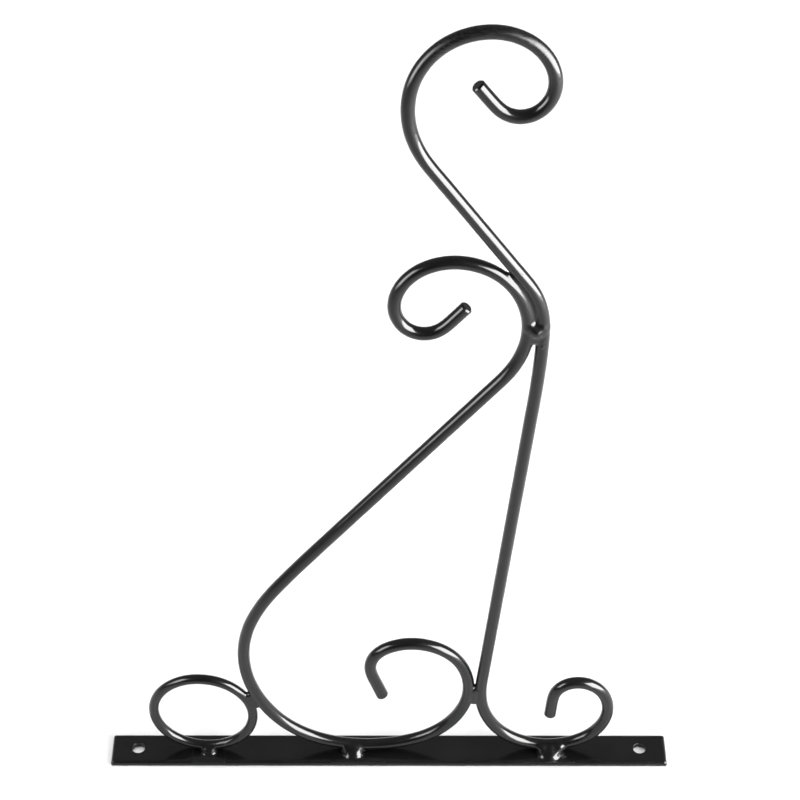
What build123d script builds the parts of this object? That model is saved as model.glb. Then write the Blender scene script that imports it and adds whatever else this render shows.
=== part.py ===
from build123d import *
import math
import os

# Scroll display bracket: a flat steel base strip carrying a small ring and two
# bent round-bar scrolls, joined by short welds and finished in gloss black.
#
# Frame: origin at the middle of the strip's underside, +Z up, +X along the
# strip, +Y away from the side the welds are laid on. Millimetres.
#
# Each rod is one length of round bar, bent in the XZ plane. Its bending
# schedule runs from one cut end to the other: ("line", length) is a straight
# run, ("arc", radius, turn) is a tangent bend, with the turn in degrees,
# positive anticlockwise when seen from -Y.

# ---------------------------------------------------------------- dimensions
STRIP_LENGTH = 300.0
STRIP_WIDTH = 20.0
STRIP_THICKNESS = 3.0
STRIP_CORNER_RADIUS = 1.2
STRIP_EDGE_RADIUS = 1.1  # rolled top edges
HOLE_DIAMETER = 6.8  # 7 mm drilled, less the enamel in the bore
HOLE_SPACING = 271.4

ROD_DIAMETER = 6.4  # 6 mm bar under its coat of enamel
ROD_END_CHAMFER = 0.75
ROOT_GAP = 0.05  # bar to strip, bridged by the weld

RING_ROD_DIAMETER = 5.3  # 5 mm bar under its coat of enamel
RING_RADIUS = 26.5  # centreline
RING_X = -98.95
RING_SKEW = -3.0  # degrees about Z; the ring is welded slightly out of line

# Long scroll: tight lower curl, round the bottom, up the long diagonal and
# over into the upper curl.
LONG_START = (-3.09, 45.69)
LONG_HEADING = 108.78
LONG_BENDS = [
    ("line", 17.01),
    ("arc", 27.55, -3.31),
    ("arc", 16.67, -71.14),
    ("arc", 25.83, -42.02),
    ("arc", 29.38, -57.88),
    ("arc", 41.36, -39.42),
    ("arc", 44.87, -54.05),
    ("arc", 70.11, -33.69),
    ("arc", 57.02, -41.12),
    ("arc", 77.50, -33.26),
    ("arc", 75.95, -27.12),
    ("arc", 113.77, -11.53),
    ("arc", 701.76, -2.66),
    ("line", 146.79),
    ("arc", 52.29, 28.48),
    ("arc", 42.91, 40.62),
    ("arc", 33.78, 51.71),
    ("arc", 27.97, 47.40),
    ("arc", 25.83, 41.25),
    ("arc", 18.17, 51.85),
    ("arc", 12.35, 96.87),
    ("line", 15.31),
]

# Hook scroll: small foot curl, under the foot, up the straight leg, back
# across the long scroll's upper curl and round into the open hook.
HOOK_START = (86.01, 30.35)
HOOK_HEADING = 84.78
HOOK_BENDS = [
    ("line", 14.25),
    ("arc", 13.09, -2.29),
    ("arc", 12.57, -99.89),
    ("arc", 16.98, -45.38),
    ("arc", 26.90, -44.62),
    ("arc", 28.68, -50.05),
    ("arc", 34.19, -40.46),
    ("arc", 36.46, -41.23),
    ("arc", 45.61, -24.65),
    ("arc", 69.30, -11.98),
    ("line", 198.40),
    ("arc", 568.95, 3.98),
    ("arc", 79.59, 7.51),
    ("arc", 44.56, 29.16),
    ("line", 77.99),
    ("arc", 54.76, -19.47),
    ("arc", 46.76, -28.86),
    ("arc", 39.04, -28.82),
    ("arc", 33.56, -41.21),
    ("arc", 28.76, -34.22),
    ("arc", 26.46, -49.58),
    ("arc", 19.35, -43.24),
    ("arc", 15.63, -28.60),
    ("arc", 12.14, -83.27),
    ("line", 14.66),
]

# Fillet welds from a rod down to the strip, laid on the -Y side:
# name: (middle x, half length, axis y, axis z, bead radius)
STRIP_WELDS = {
    "ring_strip_weld": (-97.2, 3.2, -2.3, 4.3, 2.4),
    "long_scroll_strip_weld": (-19.5, 4.6, -2.9, 4.6, 3.0),
    "hook_scroll_strip_weld": (87.2, 5.0, -3.2, 5.0, 3.6),
}

# Welds in the groove between two rods:
# name: (middle x, middle z, heading, half length, axis y, bead radius)
GROOVE_WELDS = {
    "ring_scroll_weld": (-71.5, 42.4, 113.0, 3.4, -1.9, 2.3),
    "lower_scroll_weld": (45.25, 45.4, 88.0, 4.2, -1.2, 2.3),
    "upper_scroll_weld": (68.0, 297.4, 90.0, 5.6, -1.5, 2.7),
}

# -------------------------------------------------------------------- helpers


def rod_path(start, heading, bends):
    """The rod's centreline in the XZ plane, as a list of tangent edges."""
    x, z, h = start[0], start[1], math.radians(heading)
    edges = []
    for bend in bends:
        if bend[0] == "line":
            nx, nz, nh = x + bend[1] * math.cos(h), z + bend[1] * math.sin(h), h
            edges.append(Line((x, 0, z), (nx, 0, nz)))
        else:
            side = math.copysign(1.0, bend[2])
            r, turn = bend[1], math.radians(bend[2])
            cx, cz = x - side * r * math.sin(h), z + side * r * math.cos(h)

            def at(angle):
                return (cx + side * r * math.sin(angle), 0, cz - side * r * math.cos(angle))

            nh = h + turn
            middle, end = at(h + turn / 2), at(nh)
            nx, nz = end[0], end[2]
            edges.append(ThreePointArc((x, 0, z), middle, end))
        x, z, h = nx, nz, nh
    return edges


def path_bottom(start, heading, bends):
    """Lowest point of the centreline, stepped finely along each bend."""
    x, z, h = start[0], start[1], math.radians(heading)
    low = z
    for bend in bends:
        if bend[0] == "line":
            x, z = x + bend[1] * math.cos(h), z + bend[1] * math.sin(h)
        else:
            side = math.copysign(1.0, bend[2])
            r, turn = bend[1], math.radians(bend[2])
            cx, cz = x - side * r * math.sin(h), z + side * r * math.cos(h)
            for k in range(1, 401):
                low = min(low, cz - side * r * math.cos(h + turn * k / 400))
            h += turn
            x, z = cx + side * r * math.sin(h), cz - side * r * math.cos(h)
        low = min(low, z)
    return low


def bent_rod(start, heading, bends, diameter):
    """Round bar swept along the schedule, standing ROOT_GAP above the strip."""
    lift = STRIP_THICKNESS + ROOT_GAP + diameter / 2 - path_bottom(start, heading, bends)
    start = (start[0], start[1] + lift)
    edges = rod_path(start, heading, bends)
    path = Wire(edges)
    h = math.radians(heading)
    across = Plane(origin=(start[0], 0, start[1]), z_dir=(math.cos(h), 0, math.sin(h)))
    rod = sweep(across * Circle(diameter / 2), path=path)
    ends = [
        e
        for e in rod.edges().filter_by(GeomType.CIRCLE)
        if (e.arc_center - path.position_at(0)).length < 0.01
        or (e.arc_center - path.position_at(1)).length < 0.01
    ]
    rod = chamfer(ends, ROD_END_CHAMFER)
    length = path.length
    ratio = rod.volume / (math.pi * diameter**2 / 4 * length)
    print("rod length", round(length, 1), "volume ratio", round(ratio, 4), "ends", len(ends))
    return rod


def bead(half_length, radius):
    """A round-ended bead along local Z."""
    body = Cylinder(radius, 2 * half_length)
    body += Pos(0, 0, half_length) * Sphere(radius)
    body += Pos(0, 0, -half_length) * Sphere(radius)
    return body


def largest(shape):
    return max(shape.solids(), key=lambda s: s.volume)


# --------------------------------------------------------------------- pieces

# Base strip: flat bar with two plain screw holes near its ends.
strip = Pos(0, 0, STRIP_THICKNESS / 2) * Box(STRIP_LENGTH, STRIP_WIDTH, STRIP_THICKNESS)
strip = fillet(strip.edges().filter_by(Axis.Z), STRIP_CORNER_RADIUS)
strip = fillet(
    strip.faces().sort_by(Axis.Z)[-1].edges(), STRIP_EDGE_RADIUS
)
for side in (-1, 1):
    strip -= Pos(side * HOLE_SPACING / 2, 0, STRIP_THICKNESS / 2) * Cylinder(
        HOLE_DIAMETER / 2, STRIP_THICKNESS * 2
    )

# Ring: a closed hoop of thinner bar standing on the strip.
ring_z = STRIP_THICKNESS + ROOT_GAP + RING_ROD_DIAMETER / 2 + RING_RADIUS
ring = (
    Pos(RING_X, 0, ring_z)
    * Rot(0, 0, RING_SKEW)
    * Rot(90, 0, 0)
    * Torus(RING_RADIUS, RING_ROD_DIAMETER / 2)
)

long_scroll = bent_rod(LONG_START, LONG_HEADING, LONG_BENDS, ROD_DIAMETER)
hook_scroll = bent_rod(HOOK_START, HOOK_HEADING, HOOK_BENDS, ROD_DIAMETER)

parts = {
    "base_strip": strip,
    "ring": ring,
    "long_scroll": long_scroll,
    "hook_scroll": hook_scroll,
}

# Weld beads: round-ended beads trimmed to the faces they join.
above_strip = Pos(0, 0, STRIP_THICKNESS + 50) * Box(400, 100, 100)
beside = {
    "ring_strip_weld": [ring],
    "long_scroll_strip_weld": [long_scroll],
    "hook_scroll_strip_weld": [hook_scroll],
    "ring_scroll_weld": [ring, long_scroll],
    "lower_scroll_weld": [long_scroll, hook_scroll],
    "upper_scroll_weld": [long_scroll, hook_scroll],
}
for name, (x, half, y, z, r) in STRIP_WELDS.items():
    weld = Pos(x, y, z) * Rot(0, 90, 0) * bead(half, r)
    weld = weld & above_strip
    for rod in beside[name]:
        weld = weld - rod
    parts[name] = largest(weld)
for name, (x, z, heading, half, y, r) in GROOVE_WELDS.items():
    weld = Pos(x, y, z) * Rot(0, 90 - heading, 0) * bead(half, r)
    for rod in beside[name]:
        weld = weld - rod
    parts[name] = largest(weld)

os.makedirs("parts", exist_ok=True)
for name, shape in parts.items():
    box = shape.bounding_box()
    print(name, len(shape.solids()), round(shape.volume, 1), box.min, box.max)
    export_step(shape, "parts/" + name + ".step")
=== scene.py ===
import math

import bpy
import numpy as np
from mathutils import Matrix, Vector
from mathutils.geometry import delaunay_2d_cdt


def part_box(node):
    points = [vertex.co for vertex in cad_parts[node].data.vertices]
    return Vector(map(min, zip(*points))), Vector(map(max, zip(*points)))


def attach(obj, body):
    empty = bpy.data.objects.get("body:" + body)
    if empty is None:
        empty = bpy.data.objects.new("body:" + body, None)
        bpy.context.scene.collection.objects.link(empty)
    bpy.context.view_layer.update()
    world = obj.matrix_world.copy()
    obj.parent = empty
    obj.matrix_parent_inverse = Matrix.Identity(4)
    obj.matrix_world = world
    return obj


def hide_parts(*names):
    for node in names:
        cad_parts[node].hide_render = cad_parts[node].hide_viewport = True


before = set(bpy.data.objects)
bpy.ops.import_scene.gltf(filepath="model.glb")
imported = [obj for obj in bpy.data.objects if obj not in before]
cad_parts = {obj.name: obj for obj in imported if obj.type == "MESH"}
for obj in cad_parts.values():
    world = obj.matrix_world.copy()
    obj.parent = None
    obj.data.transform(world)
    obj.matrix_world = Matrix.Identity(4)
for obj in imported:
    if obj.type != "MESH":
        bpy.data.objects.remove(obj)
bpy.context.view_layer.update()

MM = 0.001

# Lengths in this script are millimetres, in the CAD frame, until a mesh is
# written in metres. The strip, ring and rods take their places from the CAD
# boxes; the bending schedules are the ones the CAD rods are swept along.

STRIP_LO, STRIP_HI = [np.array(v) * 1000 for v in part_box("base_strip")]
RING_LO, RING_HI = [np.array(v) * 1000 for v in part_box("ring")]
LONG_LO, LONG_HI = [np.array(v) * 1000 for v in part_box("long_scroll")]
HOOK_LO, HOOK_HI = [np.array(v) * 1000 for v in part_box("hook_scroll")]

STRIP_TOP = float(STRIP_HI[2])
HOLE_R = 3.4
HOLE_X = 135.7
ROD_R = 3.2
ROD_CHAMFER = 0.75
RING_ROD_R = 2.65
RING_R = 26.5
RING_SKEW = math.radians(-3.0)
RING_X = float(RING_LO[0] + RING_HI[0]) / 2
RING_Z = float(RING_LO[2] + RING_HI[2]) / 2

LONG_START, LONG_HEADING = (-3.09, 45.69), 108.78
LONG_BENDS = [
    ("line", 17.01), ("arc", 27.55, -3.31), ("arc", 16.67, -71.14),
    ("arc", 25.83, -42.02), ("arc", 29.38, -57.88), ("arc", 41.36, -39.42),
    ("arc", 44.87, -54.05), ("arc", 70.11, -33.69), ("arc", 57.02, -41.12),
    ("arc", 77.50, -33.26), ("arc", 75.95, -27.12), ("arc", 113.77, -11.53),
    ("arc", 701.76, -2.66), ("line", 146.79), ("arc", 52.29, 28.48),
    ("arc", 42.91, 40.62), ("arc", 33.78, 51.71), ("arc", 27.97, 47.40),
    ("arc", 25.83, 41.25), ("arc", 18.17, 51.85), ("arc", 12.35, 96.87),
    ("line", 15.31),
]
HOOK_START, HOOK_HEADING = (86.01, 30.35), 84.78
HOOK_BENDS = [
    ("line", 14.25), ("arc", 13.09, -2.29), ("arc", 12.57, -99.89),
    ("arc", 16.98, -45.38), ("arc", 26.90, -44.62), ("arc", 28.68, -50.05),
    ("arc", 34.19, -40.46), ("arc", 36.46, -41.23), ("arc", 45.61, -24.65),
    ("arc", 69.30, -11.98), ("line", 198.40), ("arc", 568.95, 3.98),
    ("arc", 79.59, 7.51), ("arc", 44.56, 29.16), ("line", 77.99),
    ("arc", 54.76, -19.47), ("arc", 46.76, -28.86), ("arc", 39.04, -28.82),
    ("arc", 33.56, -41.21), ("arc", 28.76, -34.22), ("arc", 26.46, -49.58),
    ("arc", 19.35, -43.24), ("arc", 15.63, -28.60), ("arc", 12.14, -83.27),
    ("line", 14.66),
]


# ------------------------------------------------------------ small helpers

def smoothstep(e0, e1, x):
    t = np.clip((x - e0) / (e1 - e0), 0.0, 1.0)
    return t * t * (3 - 2 * t)


def gaussian_smooth(values, sigma, extend):
    """Gaussian filter along an even row of samples, the ends carried on flat or in line."""
    half = int(4 * sigma) + 1
    k = np.exp(-0.5 * (np.arange(-half, half + 1) / sigma) ** 2)
    k /= k.sum()
    if extend == "line":
        head = values[0] - (values[1] - values[0]) * np.arange(half, 0, -1)
        tail = values[-1] + (values[-1] - values[-2]) * np.arange(1, half + 1)
    else:
        head, tail = np.full(half, values[0]), np.full(half, values[-1])
    return np.convolve(np.concatenate([head, values, tail]), k, "valid")


def near_only(base, extra, reach=2.5):
    """base plus extra(mask) where base is small; far away the extra can't matter."""
    m = base < reach
    out = base.copy()
    out[m] += extra(m)
    return out


def waves(seed, count, shortest, longest):
    """Fixed sum of sines in 3-D, standing in for noise, roughly -1 to 1."""
    rng = np.random.RandomState(seed)
    d = rng.normal(size=(count, 3))
    d /= np.linalg.norm(d, axis=1)[:, None]
    lam = np.exp(rng.uniform(math.log(shortest), math.log(longest), count))
    k = d * (2 * math.pi / lam)[:, None]
    phase = rng.uniform(0, 2 * math.pi, count)
    amp = (lam / longest) ** 0.5
    amp /= np.sqrt((amp**2).sum() / 2) * 1.6

    def at(p):
        return (np.sin(p @ k.T + phase) * amp).sum(-1)

    return at


def add_mesh(name, verts, faces, smooth=True):
    """Verts in millimetres, faces as a list of index tuples, to an object in metres."""
    mesh = bpy.data.meshes.new(name)
    mesh.from_pydata((np.asarray(verts, float) * MM).tolist(), [], [tuple(int(i) for i in f) for f in faces])
    mesh.validate()
    mesh.update()
    if smooth:
        mesh.polygons.foreach_set("use_smooth", [True] * len(mesh.polygons))
    obj = bpy.data.objects.new(name, mesh)
    bpy.context.scene.collection.objects.link(obj)
    return obj


def ring_faces(rows, cols, closed_rows=False, first=0):
    """Quads of a tube of rows x cols vertices, closed around the columns."""
    i, j = np.meshgrid(np.arange(rows if closed_rows else rows - 1), np.arange(cols), indexing="ij")
    a = first + i * cols + j
    b = first + i * cols + (j + 1) % cols
    c = first + ((i + 1) % rows) * cols + (j + 1) % cols
    d = first + ((i + 1) % rows) * cols + j
    return np.stack([a, b, c, d], -1).reshape(-1, 4).tolist()


# ------------------------------------------------------------------ rod paths

def schedule_path(start, heading, bends, step=0.5):
    """Points and heading every step along a bending schedule, exactly on its lines and arcs."""
    x, z, h = start[0], start[1], math.radians(heading)
    segments, total = [], 0.0
    for bend in bends:
        if bend[0] == "line":
            length = bend[1]
            segments.append((total, length, x, z, h, None))
            x, z = x + length * math.cos(h), z + length * math.sin(h)
        else:
            side, r, turn = math.copysign(1.0, bend[2]), bend[1], math.radians(bend[2])
            length = r * abs(turn)
            segments.append((total, length, x, z, h, side * r))
            cx, cz = x - side * r * math.sin(h), z + side * r * math.cos(h)
            h += turn
            x, z = cx + side * r * math.sin(h), cz - side * r * math.cos(h)
        total += length
    n = int(round(total / step))
    s = np.linspace(0, total, n + 1)
    px, pz, ph = np.zeros(n + 1), np.zeros(n + 1), np.zeros(n + 1)
    for begin, length, x0, z0, h0, sr in segments:
        m = (s >= begin - 1e-9) & (s <= begin + length + 1e-9)
        u = s[m] - begin
        if sr is None:
            px[m], pz[m], ph[m] = x0 + u * math.cos(h0), z0 + u * math.sin(h0), h0
        else:
            hh = h0 + u / sr
            px[m] = x0 + sr * (np.sin(hh) - math.sin(h0))
            pz[m] = z0 - sr * (np.cos(hh) - math.cos(h0))
            ph[m] = hh
    return s, px, pz, ph


def rod_path(start, heading, bends, lo):
    """The rod's centreline with its bends run smoothly into each other, as springy bar does."""
    s, px, pz, ph = schedule_path(start, heading, bends)
    step = s[1] - s[0]
    soft = gaussian_smooth(ph, 3.2 / step, "line")
    hx = px[0] + np.concatenate([[0], np.cumsum((np.cos(soft[1:]) + np.cos(soft[:-1])) / 2) * step])
    hz = pz[0] + np.concatenate([[0], np.cumsum((np.sin(soft[1:]) + np.sin(soft[:-1])) / 2) * step])
    hx += gaussian_smooth(px - hx, 12 / step, "flat")
    hz += gaussian_smooth(pz - hz, 12 / step, "flat")
    hz += (lo[2] + ROD_R) - hz.min()
    heading_now = np.unwrap(np.arctan2(np.gradient(hz), np.gradient(hx)))
    return s, hx, hz, heading_now


LONG = rod_path(LONG_START, LONG_HEADING, LONG_BENDS, LONG_LO)
HOOK = rod_path(HOOK_START, HOOK_HEADING, HOOK_BENDS, HOOK_LO)


def end_profile(chamfer, radius):
    """(distance from the cut end, radius) from the body to the middle of the end face."""
    r = 0.45
    back = r * math.tan(math.radians(22.5))
    out = []
    # corner from the body into the bevel
    for k in range(7):
        a = math.radians(45) * k / 6
        d0, r0 = chamfer + back, radius - r
        out.append((d0 - r * math.sin(a), r0 + r * math.cos(a)))
    # corner from the bevel into the end face
    d1, r1 = r, radius - chamfer - back
    for k in range(7):
        a = math.radians(45) + math.radians(45) * k / 6
        out.append((d1 - r * math.sin(a), r1 + r * math.cos(a)))
    last = out[-1][1]
    for f in (0.97, 0.9, 0.75, 0.58, 0.4, 0.22):
        out.append((out[6 + 7][0] - 0.0, last * f))
    return out


def rod_mesh(name, path, seed, nibs):
    """Round bar along path with bevelled cut ends. nibs are small paint lumps: (x, z, angle from
    the outer normal towards -Y in degrees, height, spread)."""
    s, px, pz, ph = path
    cols = 64
    phi = np.arange(cols) * 2 * math.pi / cols
    wobble = waves(seed, 26, 7.0, 34.0)
    fine = waves(seed + 1, 30, 2.2, 6.0)
    profile = end_profile(ROD_CHAMFER, ROD_R)
    inset = profile[0][0]
    inner = (s > inset + 0.3) & (s < s[-1] - inset - 0.3)
    stations = [(d, r) for d, r in reversed(profile)]
    rows_s = [d for d, _ in stations] + s[inner].tolist() + [s[-1] - d for d, _ in profile]
    rows_r = [r for _, r in stations] + [ROD_R] * int(inner.sum()) + [r for _, r in profile]
    rows_s, rows_r = np.array(rows_s), np.array(rows_r)
    cx, cz = np.interp(rows_s, s, px), np.interp(rows_s, s, pz)
    h = np.interp(rows_s, s, ph)
    n = np.stack([-np.sin(h), np.zeros_like(h), np.cos(h)], -1)
    y = np.array([0.0, -1.0, 0.0])
    around = np.cos(phi)[None, :, None] * n[:, None, :] + np.sin(phi)[None, :, None] * y
    centre = np.stack([cx, np.zeros_like(cx), cz], -1)[:, None, :]
    full = centre + around * ROD_R
    depth = 0.018 * wobble(full) + 0.004 * fine(full) - 0.024
    body = np.clip(rows_r / ROD_R, 0, 1)[:, None]
    lump = np.zeros(full.shape[:2])
    for nx, nz, angle, height, spread in nibs:
        k = int(np.argmin((cx - nx) ** 2 + (cz - nz) ** 2))
        a = math.radians(angle)
        q = full[k, int(round(a / (2 * math.pi) * cols)) % cols]
        lump += height * np.exp(-((full - q) ** 2).sum(-1) / (2 * spread**2))
    verts = centre + around * ((rows_r[:, None] + np.minimum(depth, 0.0) * body + lump * body)[:, :, None])
    verts = verts.reshape(-1, 3)
    rows = len(rows_s)
    faces = ring_faces(rows, cols)
    first, last = len(verts), len(verts) + 1
    ends = np.stack([[cx[0], 0, cz[0]], [cx[-1], 0, cz[-1]]])
    verts = np.vstack([verts, ends])
    for j in range(cols):
        faces.append((first, (j + 1) % cols, j))
        base = (rows - 1) * cols
        faces.append((last, base + j, base + (j + 1) % cols))
    obj = add_mesh(name, verts, [f[::-1] for f in faces])
    return obj


def ring_mesh(name):
    """Closed hoop of thinner bar, its skin faintly uneven all round."""
    rows, cols = 360, 56
    t = np.arange(rows) * 2 * math.pi / rows
    phi = np.arange(cols) * 2 * math.pi / cols
    wobble = waves(31, 22, 6.0, 26.0)
    radial = np.stack([np.cos(t), np.zeros(rows), np.sin(t)], -1)
    around = np.cos(phi)[None, :, None] * radial[:, None, :] + np.sin(phi)[None, :, None] * np.array([0, -1.0, 0])
    centre = (radial * RING_R)[:, None, :]
    full = centre + around * RING_ROD_R
    r = RING_ROD_R + np.minimum(0.016 * wobble(full) - 0.02, 0.0)
    p = (centre + around * r[:, :, None]).reshape(-1, 3)
    c, s = math.cos(RING_SKEW), math.sin(RING_SKEW)
    p = np.stack([RING_X + p[:, 0] * c - p[:, 1] * s, p[:, 0] * s + p[:, 1] * c, RING_Z + p[:, 2]], -1)
    return add_mesh(name, p, [f[::-1] for f in ring_faces(rows, cols, closed_rows=True)])


# ---------------------------------------------------------------------- strip

def rounded_rect(half_x, half_y, radius, nx, ny, corner):
    """Counterclockwise loop; loops made with the same divisions match point for point."""
    pts = []
    sides = [
        ((half_x - radius, -half_y + radius), -90),
        ((half_x - radius, half_y - radius), 0),
        ((-half_x + radius, half_y - radius), 90),
        ((-half_x + radius, -half_y + radius), 180),
    ]
    for index, ((cx, cy), a0) in enumerate(sides):
        for k in range(corner + 1):
            a = math.radians(a0 + 90 * k / corner)
            pts.append((cx + radius * math.cos(a), cy + radius * math.sin(a)))
        ncx, ncy = sides[(index + 1) % 4][0]
        a = math.radians(a0 + 90)
        begin = (cx + radius * math.cos(a), cy + radius * math.sin(a))
        end = (ncx + radius * math.cos(a), ncy + radius * math.sin(a))
        n = ny if index in (0, 2) else nx
        for k in range(1, n):
            pts.append((begin[0] + (end[0] - begin[0]) * k / n, begin[1] + (end[1] - begin[1]) * k / n))
    return np.array(pts)


ROLL = 2.05  # rolled top edge of the flat bar


def strip_mesh(name, nibs):
    half_x, half_y, top = 150.0, 10.0, STRIP_TOP
    corner, hole_n = 10, 72

    def outer(t):
        return rounded_rect(half_x - t, half_y - t, max(1.2 - 0.45 * t, 0.3), 150, 10, corner)

    def hole(cx, r):
        a = np.arange(hole_n) * 2 * math.pi / hole_n
        return np.stack([cx + r * np.cos(a), r * np.sin(a)], -1)

    # edge section: (inset, z) from the underside to the top
    section = [(0.42, 0.0), (0.2, 0.0)]
    section += [(0.2 - 0.2 * math.sin(math.radians(a)), 0.2 - 0.2 * math.cos(math.radians(a))) for a in (22.5, 45, 67.5, 90)]
    section += [(0.0, z) for z in (0.4, 0.65)]
    section += [(ROLL - ROLL * math.cos(math.radians(a)), top - ROLL + ROLL * math.sin(math.radians(a))) for a in range(0, 91, 6)]
    section += [(ROLL + 0.1, top), (ROLL + 0.35, top), (ROLL + 0.8, top)]
    rim = [(0.55, 0.0), (0.25, 0.0)]
    rim += [(0.25 - 0.25 * math.sin(math.radians(a)), 0.25 - 0.25 * math.cos(math.radians(a))) for a in (22.5, 45, 67.5, 90)]
    rim += [(0.0, z) for z in (0.7, 1.5, 2.3)]
    rim += [(0.22 - 0.22 * math.cos(math.radians(a)), top - 0.22 + 0.22 * math.sin(math.radians(a))) for a in (0, 15, 30, 45, 60, 75, 90)]
    rim += [(0.34, top), (0.6, top), (1.1, top)]

    verts, faces = [], []

    def add_loops(make, profile, outward):
        first = len(verts)
        count = None
        for t, z in profile:
            loop = make(t)
            count = len(loop)
            verts.extend([(x, y, z) for x, y in loop])
        for i in range(len(profile) - 1):
            for j in range(count):
                a = first + i * count + j
                b = first + i * count + (j + 1) % count
                c = first + (i + 1) * count + (j + 1) % count
                d = first + (i + 1) * count + j
                faces.append((a, b, c, d) if outward else (d, c, b, a))
        return list(range(first, first + count)), list(range(first + (len(profile) - 1) * count, first + len(profile) * count))

    out_low, out_high = add_loops(outer, section, True)
    rims = [add_loops(lambda t, cx=cx: hole(cx, HOLE_R + t), rim, False) for cx in (-HOLE_X, HOLE_X)]

    def cap(outer_loop, hole_loops, z, up):
        loops = [outer_loop] + hole_loops
        ids = [i for loop in loops for i in loop]
        pts = [Vector((verts[i][0], verts[i][1])) for i in ids]
        edges, base = [], 0
        for loop in loops:
            n = len(loop)
            edges += [(base + k, base + (k + 1) % n) for k in range(n)]
            base += n
        extra = []
        rng = np.random.RandomState(5)
        for gx in np.arange(-half_x + 4.4, half_x - 4.3, 2.0):
            for gy in np.arange(-half_y + 4.2, half_y - 4.1, 1.93):
                jx, jy = gx + rng.uniform(-0.2, 0.2), gy + rng.uniform(-0.2, 0.2)
                if all(math.hypot(jx - cx, jy) > HOLE_R + 2.2 for cx in (-HOLE_X, HOLE_X)):
                    extra.append((jx, jy))
        pts += [Vector(p) for p in extra]
        co, _, tris, orig, _, _ = delaunay_2d_cdt(pts, edges, [], 0, 1e-5)
        remap = {}
        for new, src in enumerate(orig):
            low = [o for o in src if o < len(ids)]
            if low:
                remap[new] = ids[low[0]]
            else:
                remap[new] = len(verts)
                verts.append((co[new].x, co[new].y, z))
        for tri in tris:
            c = sum((co[i] for i in tri), Vector((0, 0))) / len(tri)
            if any(math.hypot(c.x - cx, c.y) < HOLE_R + (0.5) for cx in (-HOLE_X, HOLE_X)):
                continue
            if abs(c.x) > half_x or abs(c.y) > half_y:
                continue
            f = [remap[i] for i in tri]
            area = sum(co[tri[i]].x * co[tri[(i + 1) % len(tri)]].y - co[tri[(i + 1) % len(tri)]].x * co[tri[i]].y for i in range(len(tri)))
            if (area > 0) != up:
                f = f[::-1]
            faces.append(tuple(f))

    cap(out_high, [r[1] for r in rims], top, True)
    cap(out_low, [r[0] for r in rims], 0.0, False)
    v = np.array(verts, float)
    # hand-worked bar: broad, very shallow hollows in the top and front, none of it proud of the stock size
    broad = waves(77, 20, 16.0, 70.0)
    n_top = smoothstep(1.0, 3.0, v[:, 2]) * 0.02 * np.minimum(broad(v) - 0.9, 0.0)
    v[:, 2] += n_top * (v[:, 2] > 0.5)
    side = smoothstep(half_y - 2.5, half_y - 0.5, np.abs(v[:, 1]))
    v[:, 1] -= np.sign(v[:, 1]) * side * 0.02 * np.clip(1 + broad(v * [1, 0, 1]), 0, 2)
    for x, y, height, spread in nibs:
        near = (v[:, 2] > 1.5) & (np.hypot(v[:, 0] - x, v[:, 1] - y) < 4 * spread)
        v[near, 2] += height * np.exp(-((v[near, 0] - x) ** 2 + (v[near, 1] - y) ** 2) / (2 * spread**2))
    return add_mesh(name, v, faces)


# ---------------------------------------------------------------------- welds

def surface_net(field, origin, h):
    """Naive surface nets over a grid of signed distances; quads facing outwards."""
    inside = field < 0
    nx, ny, nz = field.shape
    total = np.zeros((nx - 1, ny - 1, nz - 1, 3))
    count = np.zeros((nx - 1, ny - 1, nz - 1))

    def corner(o):
        return field[o[0]:o[0] + nx - 1, o[1]:o[1] + ny - 1, o[2]:o[2] + nz - 1]

    for axis in range(3):
        u, v = (axis + 1) % 3, (axis + 2) % 3
        for a in (0, 1):
            for b in (0, 1):
                o0 = [0, 0, 0]
                o0[u], o0[v] = a, b
                o1 = list(o0)
                o1[axis] = 1
                f0, f1 = corner(o0), corner(o1)
                m = (f0 < 0) != (f1 < 0)
                t = np.where(m, f0 / np.where(m, f0 - f1, 1.0), 0.0)
                total[..., axis] += t
                total[..., u] += m * a
                total[..., v] += m * b
                count += m
    active = count > 0
    index = np.full(active.shape, -1)
    index[active] = np.arange(int(active.sum()))
    pos = (np.argwhere(active) + total[active] / count[active][:, None]) * h + origin
    faces = []
    for axis in range(3):
        u, v = (axis + 1) % 3, (axis + 2) % 3
        s = np.moveaxis(inside, (axis, u, v), (0, 1, 2))
        idx = np.moveaxis(index, (axis, u, v), (0, 1, 2))
        s0, s1 = s[:-1, 1:-1, 1:-1], s[1:, 1:-1, 1:-1]
        for flip, m in ((False, s0 & ~s1), (True, ~s0 & s1)):
            i, j, k = np.nonzero(m)
            quad = np.stack([idx[i, j, k], idx[i, j + 1, k], idx[i, j + 1, k + 1], idx[i, j, k + 1]], -1)
            faces.append(quad[:, ::-1] if flip else quad)
    return pos, np.concatenate(faces)


def smin(a, b, k):
    h = np.maximum(k - np.abs(a - b), 0.0) / k
    return np.minimum(a, b) - h * h * k / 4


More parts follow.
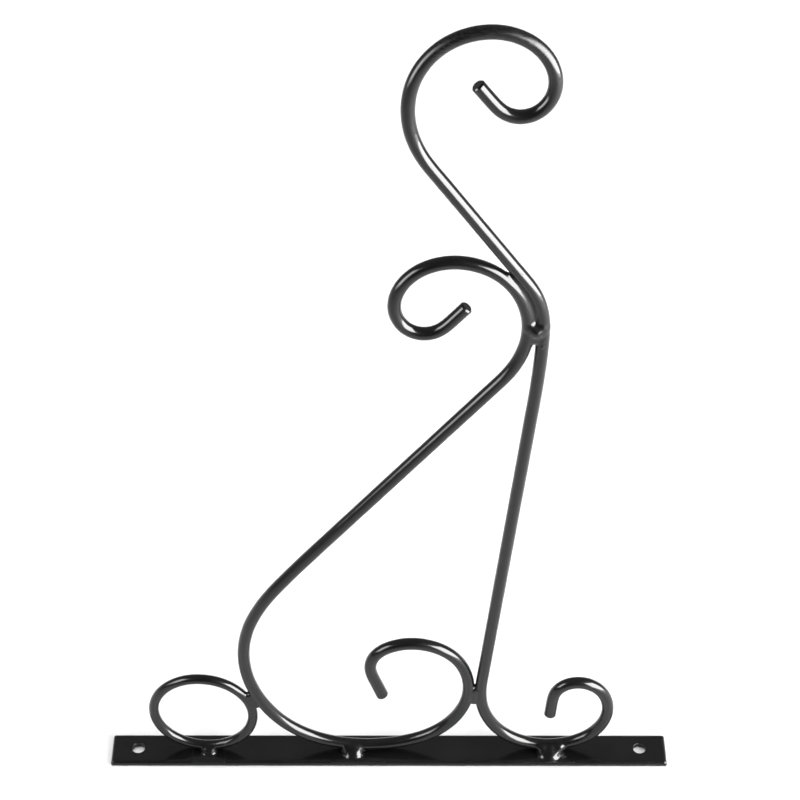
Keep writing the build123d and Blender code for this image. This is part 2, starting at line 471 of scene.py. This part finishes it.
class RodField:
    """Signed distance to a stretch of rod: the planar distance to its centreline is tabled once."""

    def __init__(self, path, x, z, reach_x, reach_z, radius, step=0.15):
        _, px, pz, _ = path
        self.radius, self.step = radius, step
        self.x0, self.z0 = x - reach_x - 1, z - reach_z - 1
        nx, nz = int((2 * reach_x + 2) / step) + 2, int((2 * reach_z + 2) / step) + 2
        gx, gz = self.x0 + step * np.arange(nx), self.z0 + step * np.arange(nz)
        near = (np.abs(px - x) < reach_x + 7) & (np.abs(pz - z) < reach_z + 7)
        ids = np.nonzero(near)[0]
        self.table = np.full((nx, nz), 50.0, np.float32)
        for i in ids[:-1]:
            if i + 1 >= len(px) or not near[i + 1]:
                continue
            # each short run only matters close by
            ax, az, bx, bz = px[i], pz[i], px[i + 1], pz[i + 1]
            i0, i1 = np.searchsorted(gx, [min(ax, bx) - 8, max(ax, bx) + 8])
            k0, k1 = np.searchsorted(gz, [min(az, bz) - 8, max(az, bz) + 8])
            if i0 >= i1 or k0 >= k1:
                continue
            wx, wz = gx[i0:i1, None] - ax, gz[None, k0:k1] - az
            dx, dz = bx - ax, bz - az
            t = np.clip((wx * dx + wz * dz) / (dx * dx + dz * dz), 0, 1)
            d = np.hypot(wx - t * dx, wz - t * dz)
            view = self.table[i0:i1, k0:k1]
            np.minimum(view, d, out=view)

    def __call__(self, p):
        u = np.clip((p[:, 0] - self.x0) / self.step, 0, self.table.shape[0] - 1.001)
        v = np.clip((p[:, 2] - self.z0) / self.step, 0, self.table.shape[1] - 1.001)
        i, k = u.astype(int), v.astype(int)
        fu, fv = u - i, v - k
        t = self.table
        d = (t[i, k] * (1 - fu) + t[i + 1, k] * fu) * (1 - fv) + (t[i, k + 1] * (1 - fu) + t[i + 1, k + 1] * fu) * fv
        return np.hypot(d, p[:, 1]) - self.radius


def ring_distance(p):
    c, s = math.cos(RING_SKEW), math.sin(RING_SKEW)
    x, y, z = p[:, 0] - RING_X, p[:, 1], p[:, 2] - RING_Z
    lx, ly = x * c + y * s, -x * s + y * c
    return np.hypot(np.hypot(lx, z) - RING_R, ly) - RING_ROD_R


def strip_distance(p):
    r = 0.5
    d = np.abs(p - np.array([0, 0, STRIP_TOP / 2])) - np.array([150.0, 10.0, STRIP_TOP / 2]) + r
    return np.linalg.norm(np.maximum(d, 0), axis=1) + np.minimum(d.max(1), 0) - r


def capsule(p, a, b, ra, rb=None):
    a, b = np.array(a, float), np.array(b, float)
    rb = ra if rb is None else rb
    t = np.clip(((p - a) @ (b - a)) / ((b - a) @ (b - a)), 0, 1)
    return np.linalg.norm(p - a - t[:, None] * (b - a), axis=1) - (ra + (rb - ra) * t)


# the weld's skin starts this far under the surfaces it fairs into
SKIN_GAP = 0.03


def weld_mesh(name, shape, solids, lo, hi, h=0.26, sink=0.4):
    """shape(p) is the finished skin of joint and weld together. The piece is that skin less what lies
    deeper than sink inside each joined solid, so it seats into them and its edge runs out on them."""

    def field(p):
        f = shape(p) + SKIN_GAP
        for solid in solids:
            f = np.maximum(f, -(solid(p) + sink))
        return f

    lo, hi = np.array(lo, float), np.array(hi, float)
    n = np.ceil((hi - lo) / h).astype(int) + 1
    grid = np.stack(np.meshgrid(*[lo[i] + h * np.arange(n[i]) for i in range(3)], indexing="ij"), -1)
    values = field(grid.reshape(-1, 3)).reshape(grid.shape[:3])
    # keep only the largest connected inside region
    values[0], values[-1] = np.maximum(values[0], 0.1), np.maximum(values[-1], 0.1)
    values[:, 0], values[:, -1] = np.maximum(values[:, 0], 0.1), np.maximum(values[:, -1], 0.1)
    values[:, :, 0], values[:, :, -1] = np.maximum(values[:, :, 0], 0.1), np.maximum(values[:, :, -1], 0.1)
    pos, faces = surface_net(values, lo, h)
    pos, faces = largest_piece(pos, faces)
    e = 0.04
    for _ in range(2):
        f = field(pos)
        g = np.stack([(field(pos + np.eye(3)[i] * e) - f) / e for i in range(3)], -1)
        gg = np.maximum((g * g).sum(-1), 0.25)
        move = -(f / gg)[:, None] * g
        length = np.linalg.norm(move, axis=1)[:, None]
        pos = pos + move * np.minimum(1.0, 0.35 * h / np.maximum(length, 1e-9))
    return add_mesh(name, pos, faces)


def largest_piece(pos, faces):
    """Drops any speck that isn't part of the biggest connected skin."""
    label = np.arange(len(pos))
    while True:
        low = label[faces].min(1)
        new = label.copy()
        for c in range(4):
            np.minimum.at(new, faces[:, c], low)
        new = new[new]
        if (new == label).all():
            break
        label = new
    ids, counts = np.unique(label, return_counts=True)
    keep = label == ids[counts.argmax()]
    remap = np.cumsum(keep) - 1
    faces = faces[keep[faces].all(1)]
    return pos[keep], remap[faces]


# ------------------------------------------------------------------ materials

def enamel(name, tint, rough, peel_mm, peel_um, nib_um, dull_above=None):
    """Gloss black enamel over steel: deep black body, uneven film with orange peel and dust nibs.
    dull_above is a height in metres over which the coat went on thin and dried streaky."""
    m = bpy.data.materials.new(name)
    m.use_nodes = True
    nt = m.node_tree
    nt.nodes.clear()
    N, L = nt.nodes.new, nt.links.new
    out = N("ShaderNodeOutputMaterial")
    b = N("ShaderNodeBsdfPrincipled")
    L(b.outputs["BSDF"], out.inputs["Surface"])
    # two lobes: a hazy film under a wet skin
    b.inputs["IOR"].default_value = 1.46
    b.inputs["Specular IOR Level"].default_value = 0.10
    b.inputs["Metallic"].default_value = 0.0
    b.inputs["Coat Weight"].default_value = 0.75
    b.inputs["Coat IOR"].default_value = 1.44
    tc = N("ShaderNodeTexCoord")

    def noise(scale, detail, rough_):
        n = N("ShaderNodeTexNoise")
        n.inputs["Scale"].default_value = scale
        n.inputs["Detail"].default_value = detail
        n.inputs["Roughness"].default_value = rough_
        L(tc.outputs["Object"], n.inputs["Vector"])
        return n

    def ramp(source, stops):
        r = N("ShaderNodeValToRGB")
        while len(r.color_ramp.elements) < len(stops):
            r.color_ramp.elements.new(0.5)
        for el, (at, col) in zip(r.color_ramp.elements, stops):
            el.position = at
            el.color = (*col, 1) if len(col) == 3 else col
        L(source, r.inputs["Fac"])
        return r

    # colour: near black, a little warmer or cooler in broad patches, greyer where dust has settled in the film
    broad = noise(45, 3, 0.55)
    dust = noise(900, 4, 0.7)
    c0, c1 = tint
    base = ramp(broad.outputs["Fac"], [(0.30, c0), (0.70, c1)])
    specks = ramp(dust.outputs["Fac"], [(0.66, (0, 0, 0)), (0.84, (0.006, 0.006, 0.006))])
    add = N("ShaderNodeMix")
    add.data_type, add.blend_type = "RGBA", "ADD"
    add.inputs[0].default_value = 1.0
    L(base.outputs["Color"], add.inputs[6])
    L(specks.outputs["Color"], add.inputs[7])
    L(add.outputs[2], b.inputs["Base Color"])

    # roughness: mostly wet-looking, duller in smears
    smear = noise(120, 5, 0.6)
    r0, r1, r2 = rough
    rr = ramp(smear.outputs["Fac"], [(0.32, (r0,) * 3), (0.62, (r1,) * 3), (0.85, (r2,) * 3)])
    haze = ramp(smear.outputs["Fac"], [(0.30, (0.30,) * 3), (0.75, (0.44,) * 3)])
    L(haze.outputs["Color"], b.inputs["Roughness"])
    if dull_above is None:
        L(rr.outputs["Color"], b.inputs["Coat Roughness"])
    else:
        split = N("ShaderNodeSeparateXYZ")
        L(tc.outputs["Object"], split.inputs[0])
        height = N("ShaderNodeMapRange")
        height.inputs["From Min"].default_value = dull_above
        height.inputs["From Max"].default_value = dull_above + 0.016
        height.interpolation_type = "SMOOTHSTEP"
        L(split.outputs["Z"], height.inputs["Value"])
        stretch = N("ShaderNodeMapping")
        stretch.inputs["Scale"].default_value = (0.25, 1.0, 1.6)
        L(tc.outputs["Object"], stretch.inputs["Vector"])
        streaks = noise(900, 3, 0.6)
        L(stretch.outputs["Vector"], streaks.inputs["Vector"])
        patchy = ramp(streaks.outputs["Fac"], [(0.36, (0.22,) * 3), (0.66, (0.42,) * 3)])
        mix = N("ShaderNodeMix")
        mix.data_type = "RGBA"
        L(height.outputs["Result"], mix.inputs[0])
        L(rr.outputs["Color"], mix.inputs[6])
        L(patchy.outputs["Color"], mix.inputs[7])
        L(mix.outputs[2], b.inputs["Coat Roughness"])

    # film: long orange peel, fine grain, and sparse nibs
    peel = noise(1000.0 / peel_mm, 1.5, 0.45)
    bump1 = N("ShaderNodeBump")
    bump1.inputs["Strength"].default_value = 1.0
    bump1.inputs["Distance"].default_value = peel_um * 1e-6
    L(peel.outputs["Fac"], bump1.inputs["Height"])
    cells = N("ShaderNodeTexVoronoi")
    cells.feature = "F1"
    cells.inputs["Scale"].default_value = 170.0
    cells.inputs["Randomness"].default_value = 1.0
    L(tc.outputs["Object"], cells.inputs["Vector"])
    nib = ramp(cells.outputs["Distance"], [(0.0, (1, 1, 1)), (0.075, (0, 0, 0))])
    nib.color_ramp.interpolation = "EASE"
    bump2 = N("ShaderNodeBump")
    bump2.inputs["Strength"].default_value = 1.0
    bump2.inputs["Distance"].default_value = nib_um * 1e-6
    L(nib.outputs["Color"], bump2.inputs["Height"])
    L(bump1.outputs["Normal"], bump2.inputs["Normal"])
    L(bump2.outputs["Normal"], b.inputs["Normal"])
    L(bump2.outputs["Normal"], b.inputs["Coat Normal"])
    return m


ROD_ENAMEL = enamel("rod_enamel", ((0.0010, 0.0010, 0.0012), (0.0022, 0.0020, 0.0019)), (0.05, 0.085, 0.16), 5.0, 9.0, 9.0, dull_above=0.436)
RING_ENAMEL = enamel("ring_enamel", ((0.0010, 0.0010, 0.0012), (0.0022, 0.0020, 0.0019)), (0.05, 0.08, 0.15), 4.0, 7.0, 7.0)
STRIP_ENAMEL = enamel("strip_enamel", ((0.0009, 0.0009, 0.0011), (0.0020, 0.0019, 0.0018)), (0.045, 0.075, 0.15), 7.0, 9.0, 9.0)
WELD_ENAMEL = enamel("weld_enamel", ((0.0009, 0.0009, 0.0010), (0.0019, 0.0018, 0.0017)), (0.05, 0.08, 0.15), 2.2, 7.0, 10.0)


def finish_piece(obj, material, slot_name, *nodes):
    obj.data.materials.clear()
    obj.data.materials.append(material)
    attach(obj, "root")
    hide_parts(*nodes)
    return obj


# --------------------------------------------------------------------- pieces

long_obj = rod_mesh("long_scroll_rod", LONG, 11, [])
finish_piece(long_obj, ROD_ENAMEL, "rod_enamel", "long_scroll")

hook_obj = rod_mesh(
    "hook_scroll_rod", HOOK, 21,
    [
        (72.2, 290.0, 88.0, 0.45, 0.46),
        (71.9, 292.8, 92.0, 0.32, 0.40),
        (72.3, 267.7, 78.0, 0.14, 0.45),
    ],
)
finish_piece(hook_obj, ROD_ENAMEL, "rod_enamel", "hook_scroll")

ring_obj = ring_mesh("ring_hoop")
finish_piece(ring_obj, RING_ENAMEL, "rod_enamel", "ring")

strip_obj = strip_mesh("base_strip_bar", [(26.0, -9.2, 0.12, 0.5), (49.0, -5.5, 0.10, 0.45)])
finish_piece(strip_obj, STRIP_ENAMEL, "strip_enamel", "base_strip")

lumps = waves(91, 14, 2.4, 6.5)


def strip_weld(name, node, rod, x, parts, k_bead, k_film, reach=(11, 11), k_parts=1.4):
    """A fillet from a rod's belly down to the strip: parts are tapered capsules run together."""

    def shape(p):
        skin = smin(rod(p), strip_distance(p), k_film)
        bead = None
        for a, b, ra, rb in parts:
            c = capsule(p, a, b, ra, rb)
            bead = c if bead is None else smin(bead, c, k_parts)
        bead = near_only(bead, lambda m: 0.03 * lumps(p[m]))
        return smin(skin, bead, k_bead)

    obj = weld_mesh(
        name, shape, [rod, strip_distance],
        (x - reach[0], -9.9, STRIP_TOP - 1.0), (x + reach[1], 5.0, STRIP_TOP + 7.5),
    )
    finish_piece(obj, WELD_ENAMEL, "weld_enamel", node)
    return obj


def groove_weld(name, node, rod_a, rod_b, x, z, heading, parts, k_bead, k_web, web, size):
    """A bead in the groove between two rods; the enamel bridges the groove over the web's length."""
    h = math.radians(heading)
    t = np.array([math.cos(h), 0.0, math.sin(h)])
    c = np.array([x, 0.0, z])

    def shape(p):
        a, b = rod_a(p), rod_b(p)
        u = (p - c) @ t
        k = k_web * smoothstep(web[0] - 3.0, web[0] + 0.5, u) * (1 - smoothstep(web[1] - 0.5, web[1] + 3.0, u)) + 0.05
        skin = smin(a, b, k)
        bead = None
        for q0, q1, ra, rb in parts:
            cc = capsule(p, q0, q1, ra, rb)
            bead = cc if bead is None else smin(bead, cc, 1.2)
        bead = near_only(bead, lambda m: 0.07 * lumps(p[m]))
        return smin(skin, bead, k_bead)

    lo, hi = size
    obj = weld_mesh(name, shape, [rod_a, rod_b], lo, hi)
    finish_piece(obj, WELD_ENAMEL, "weld_enamel", node)
    return obj


SKIN_R = ROD_R - 0.024
long_low = RodField(LONG, -14, 8, 26, 12, SKIN_R)
hook_low = RodField(HOOK, 87, 8, 15, 12, SKIN_R)

strip_weld(
    "ring_strip_weld_bead", "ring_strip_weld", ring_distance, -97.4,
    [((-98.3, -2.6, 3.9), (-96.4, -2.6, 3.9), 2.2, 2.2)],
    2.2, 0.9, reach=(9, 9),
)
strip_weld(
    "long_scroll_strip_weld_bead", "long_scroll_strip_weld", long_low, -19.0,
    [
        ((-22.6, -2.4, 4.9), (-21.2, -4.9, 2.8), 2.4, 2.2),
        ((-19.4, -2.6, 4.9), (-19.2, -5.2, 2.7), 2.6, 2.3),
        ((-16.8, -2.4, 4.9), (-17.2, -4.9, 2.8), 2.4, 2.2),
    ],
    2.2, 0.9, reach=(12, 17), k_parts=2.0,
)
strip_weld(
    "hook_scroll_strip_weld_bead", "hook_scroll_strip_weld", hook_low, 87.0,
    [
        ((83.0, -2.2, 6.0), (84.4, -6.3, 2.2), 2.7, 2.3),
        ((87.4, -2.4, 5.9), (86.6, -6.8, 2.2), 2.9, 2.4),
        ((91.8, -2.2, 6.4), (88.0, -7.3, 1.9), 2.7, 1.9),
    ],
    2.6, 1.0, reach=(14, 13), k_parts=2.2,
)

long_ring = RodField(LONG, -72.5, 43.5, 10, 13, SKIN_R)
groove_weld(
    "ring_scroll_weld_bead", "ring_scroll_weld", ring_distance, long_ring,
    -71.5, 42.4, 113.0,
    [((-70.4, -1.6, 40.0), (-73.7, -1.4, 47.6), 1.7, 1.8)],
    1.4, 1.7, (-3.2, 6.0), ((-80.5, -4.6, 34.0), (-64.5, 3.0, 54.0)),
)
long_lower = RodField(LONG, 45.25, 46.5, 9, 16, SKIN_R)
hook_lower = RodField(HOOK, 45.25, 46.5, 9, 16, SKIN_R)
groove_weld(
    "lower_scroll_weld_bead", "lower_scroll_weld", long_lower, hook_lower,
    45.25, 45.4, 88.0,
    [((45.2, -1.0, 42.6), (45.5, -1.3, 51.6), 1.7, 1.9)],
    1.4, 2.0, (-4.2, 7.8), ((39.5, -4.6, 34.5), (51.0, 3.0, 60.5)),
)
long_upper = RodField(LONG, 64, 308, 18, 30, SKIN_R)
hook_upper = RodField(HOOK, 64, 308, 18, 30, SKIN_R)
groove_weld(
    "upper_scroll_weld_bead", "upper_scroll_weld", long_upper, hook_upper,
    68.0, 297.4, 90.0,
    [
        ((65.9, -0.7, 300.2), (68.5, -0.9, 298.6), 3.0, 3.8),
        ((68.5, -0.9, 298.6), (70.9, -0.6, 300.0), 3.8, 3.0),
        ((68.4, -0.4, 297.4), (68.0, -0.2, 293.0), 3.3, 2.5),
    ],
    1.8, 2.6, (-9.0, 34.0), ((51.0, -5.6, 282.0), (76.5, 4.4, 335.0)),
)

# ---------------------------------------------------------------------- stage

floor = add_mesh("floor", [(-4000, -4000, 0), (4000, -4000, 0), (4000, 4000, 0), (-4000, 4000, 0)], [(0, 1, 2, 3)], smooth=False)
fm = bpy.data.materials.new("floor_paper")
fm.use_nodes = True
fb = fm.node_tree.nodes["Principled BSDF"]
fb.inputs["Roughness"].default_value = 0.9
fb.inputs["Specular IOR Level"].default_value = 0.1
fn = fm.node_tree.nodes.new("ShaderNodeTexNoise")
fn.inputs["Scale"].default_value = 3.0
fr = fm.node_tree.nodes.new("ShaderNodeValToRGB")
fr.color_ramp.elements[0].color = (0.262, 0.262, 0.262, 1)
fr.color_ramp.elements[1].color = (0.272, 0.272, 0.272, 1)
ft = fm.node_tree.nodes.new("ShaderNodeTexCoord")
fm.node_tree.links.new(ft.outputs["Object"], fn.inputs["Vector"])
fm.node_tree.links.new(fn.outputs["Fac"], fr.inputs["Fac"])
fm.node_tree.links.new(fr.outputs["Color"], fb.inputs["Base Color"])
floor.data.materials.append(fm)

world = bpy.data.worlds.new("studio")
bpy.context.scene.world = world
world.use_nodes = True
wt = world.node_tree
bg = wt.nodes["Background"]
wc = wt.nodes.new("ShaderNodeTexCoord")
ws = wt.nodes.new("ShaderNodeSeparateXYZ")
wm = wt.nodes.new("ShaderNodeMapRange")
wm.inputs["From Min"].default_value = -0.75
wm.inputs["From Max"].default_value = 0.65
wm.interpolation_type = "SMOOTHSTEP"
wr = wt.nodes.new("ShaderNodeValToRGB")
wr.color_ramp.elements[0].color = (0.07, 0.07, 0.07, 1)
wr.color_ramp.elements[1].color = (0.30, 0.295, 0.30, 1)
wt.links.new(wc.outputs["Generated"], ws.inputs[0])
wt.links.new(ws.outputs["Y"], wm.inputs["Value"])
wt.links.new(wm.outputs["Result"], wr.inputs["Fac"])
wt.links.new(wr.outputs["Color"], bg.inputs["Color"])
bg.inputs["Strength"].default_value = 1.0


def softbox(name, location, aim, width, height, radiance, glossy=True):
    """Rectangular studio softbox of even radiance, in metres."""
    data = bpy.data.lights.new(name, "AREA")
    data.shape = "RECTANGLE"
    data.size, data.size_y = width, height
    data.energy = radiance * math.pi * width * height
    obj = bpy.data.objects.new(name, data)
    bpy.context.scene.collection.objects.link(obj)
    obj.location = location
    obj.rotation_euler = (Vector(aim) - Vector(location)).to_track_quat("-Z", "Y").to_euler()
    obj.visible_glossy = glossy
    return obj


RIGHT_AZ, LEFT_AZ = math.radians(62), math.radians(-68)
softbox(
    "softbox_right",
    (1.03 * math.sin(RIGHT_AZ), -1.03 * math.cos(RIGHT_AZ), 0.545),
    (0, 0, 0.545), 1.29, 1.07, 8.0,
)
softbox(
    "softbox_right_middle",
    (1.025 * math.sin(RIGHT_AZ), -1.025 * math.cos(RIGHT_AZ), 0.545),
    (0, 0, 0.545), 1.02, 0.88, 21.0,
)
softbox(
    "softbox_left",
    (0.71 * math.sin(LEFT_AZ), -0.71 * math.cos(LEFT_AZ), 0.53),
    (0, 0, 0.53), 0.56, 0.62, 3.4,
)
softbox(
    "softbox_left_middle",
    (0.705 * math.sin(LEFT_AZ), -0.705 * math.cos(LEFT_AZ), 0.53),
    (0, 0, 0.53), 0.40, 0.52, 4.6,
)
softbox(
    "softbox_left_core",
    (0.700 * math.sin(LEFT_AZ), -0.700 * math.cos(LEFT_AZ), 0.53),
    (0, 0, 0.53), 0.22, 0.40, 5.6,
)
softbox("overhead", (-0.15, 1.05, 1.8), (0, 0.75, 0), 2.6, 1.8, 10.0, glossy=False)

cam_data = bpy.data.cameras.new("camera")
cam = bpy.data.objects.new("camera", cam_data)
bpy.context.scene.collection.objects.link(cam)
cam_data.sensor_width = 36.0
cam_data.lens = 2312.0 * 36.0 / 800.0
cam_data.clip_start, cam_data.clip_end = 0.01, 50
cam.location = (0.0067, -0.8136, 0.9747)
cam.rotation_euler = (math.radians(90 - 41.5), 0.0, math.radians(0.05))
bpy.context.scene.camera = cam
bpy.context.scene.view_settings.view_transform = "Standard"
bpy.context.scene.view_settings.look = "None"
